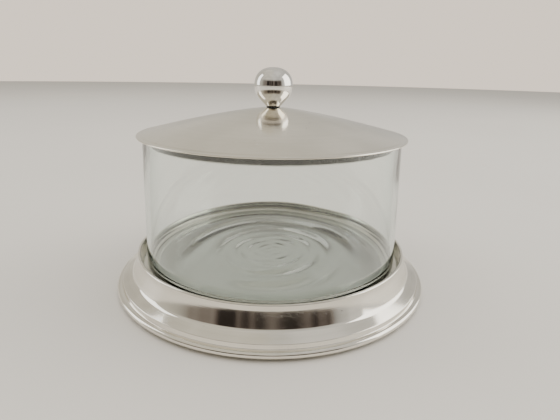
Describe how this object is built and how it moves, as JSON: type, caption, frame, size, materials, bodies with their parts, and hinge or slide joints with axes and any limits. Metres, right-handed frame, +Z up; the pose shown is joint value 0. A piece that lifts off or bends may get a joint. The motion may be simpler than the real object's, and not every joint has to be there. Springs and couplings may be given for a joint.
{
  "type": "cheese dome",
  "caption": "Round glass bowl standing in a flared metal ring, under a shallow metal lid with a ball knob; lid and bowl lift off.",
  "frame": {"origin": "centre of the plane that the object stands on", "axes": "+Z up along the axis that every piece is turned about; X and Y are free, with the foot bumpers at 45 degrees to them"},
  "size_m": [0.2996, 0.2996, 0.2029],
  "materials": {
    "polished_aluminium": "polished cast aluminium",
    "satin_aluminium": "spun and satin polished",
    "bright_ball": "mirror polished",
    "plated_steel": "zinc plated",
    "clear_glass": "clear, faint green edge",
    "black_fibre": "dark fibre",
    "clear_rubber": "translucent soft"
  },
  "bodies": {
    "base": {"base_ring": "polished_aluminium", "foot_bumper_1": "clear_rubber", "foot_bumper_2": "clear_rubber", "foot_bumper_3": "clear_rubber", "foot_bumper_4": "clear_rubber"},
    "bowl": {"glass_bowl": "clear_glass"},
    "lid": {"lid_shell": "satin_aluminium", "lid_band": "satin_aluminium", "knob_ball": "bright_ball", "knob_fibre_washer": "black_fibre", "flat_washer": "plated_steel", "spring_washer": "plated_steel", "knob_screw": "plated_steel"}
  },
  "joints": [
    {"name": "bowl_lift", "type": "slide", "parent": "base", "child": "bowl", "axis": [0, 0, 1], "range_m": [0, 0.06]},
    {"name": "lid_lift", "type": "slide", "parent": "bowl", "child": "lid", "axis": [0, 0, 1], "range_m": [0, 0.12]}
  ]
}
